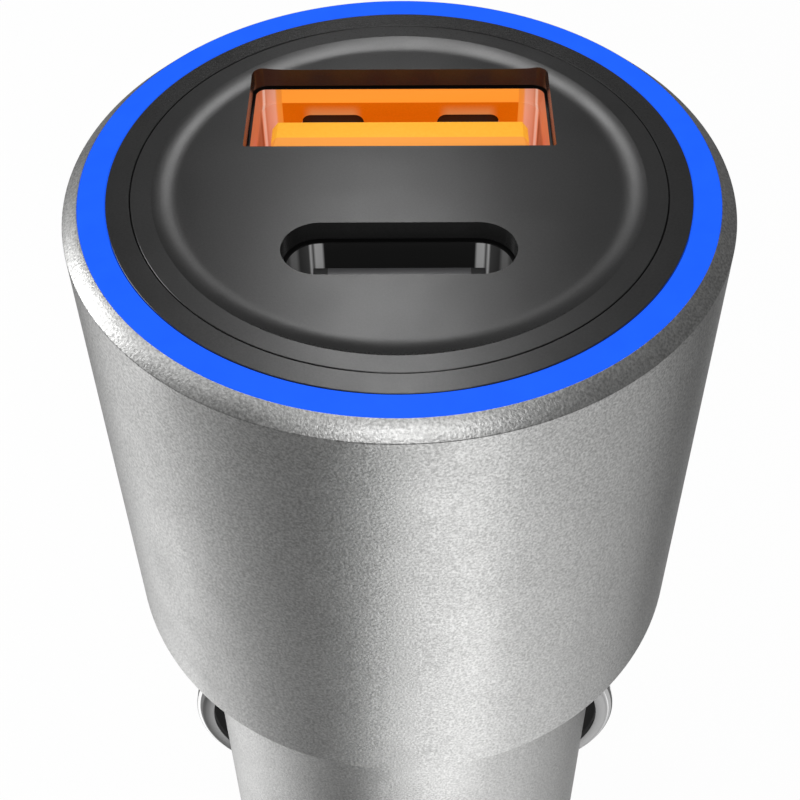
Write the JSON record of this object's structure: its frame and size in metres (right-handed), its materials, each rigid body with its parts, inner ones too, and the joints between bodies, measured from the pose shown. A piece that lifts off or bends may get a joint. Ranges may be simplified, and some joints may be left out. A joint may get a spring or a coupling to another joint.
{
  "type": "car charger plug",
  "caption": "Metal car charger plug with a lit ring round a black face, a wide and a small power outlet, sprung side wings and a sprung tip.",
  "frame": {"origin": "on the axis, in the plane of the shoulder that stops against the rim of the dashboard socket", "axes": "+Z along the axis out of the socket towards the face, -Y the side of the small outlet, +X and -X the side wings"},
  "size_m": [0.026, 0.026, 0.0644],
  "materials": {
    "blasted_aluminium": "fine blasted and anodised",
    "lit_ring": "translucent, lit from inside",
    "black_trim": "satin",
    "black_face": "satin",
    "orange_shell": "steel sheet with an orange lacquer",
    "plated_steel": "nickel plated sheet",
    "orange_insulator": "moulded, slightly glossy",
    "dark_insulator": "moulded",
    "gilt_contact": "gold plated",
    "circuit_board": "solder mask",
    "lamp": "moulded lamp",
    "ferrite": "sintered",
    "can": "drawn can",
    "chip_ceramic": "sintered",
    "chip_black": "moulded",
    "fuse_body": "glazed",
    "black_carrier": "moulded",
    "bright_spring": "polished nickel plate",
    "black_nose": "moulded, satin",
    "terminal_brass": "stamped",
    "spring_steel": "drawn wire",
    "tip_nickel": "turned and nickel plated"
  },
  "bodies": {
    "charger": {"housing": "blasted_aluminium", "light_ring": "lit_ring", "bezel_ring": "black_trim", "face_plate": "black_face", "wide_shell": "orange_shell", "wide_tongue": "orange_insulator", "wide_pins": "gilt_contact", "small_shell": "plated_steel", "small_tongue": "dark_insulator", "small_pins": "gilt_contact", "port_board": "circuit_board", "ring_lamps": "lamp", "main_board": "circuit_board", "choke": "ferrite", "input_capacitor": "can", "output_capacitor": "can", "chip_capacitors": "chip_ceramic", "controllers": "chip_black", "power_switches": "chip_black", "fuse": "fuse_body", "contact_carrier": "black_carrier", "nose": "black_nose", "tip_terminal": "terminal_brass", "tip_spring": "spring_steel"},
    "left_contact": {"left_wing": "bright_spring"},
    "right_contact": {"right_wing": "bright_spring"},
    "tip": {"tip_contact": "tip_nickel"}
  },
  "joints": [
    {"name": "left_wing_press", "type": "slide", "parent": "charger", "child": "left_contact", "axis": [1, 0, 0], "range_m": [0, 0.00135], "stiffness_N_per_m": 3000, "springref_m": -0.0005},
    {"name": "right_wing_press", "type": "slide", "parent": "charger", "child": "right_contact", "axis": [-1, 0, 0], "range_m": [0, 0.00135], "stiffness_N_per_m": 3000, "springref_m": -0.0005},
    {"name": "tip_press", "type": "slide", "parent": "charger", "child": "tip", "axis": [0, 0, 1], "range_m": [0, 0.0022], "stiffness_N_per_m": 800, "springref_m": -0.003, "deforming": ["tip_spring"]}
  ]
}
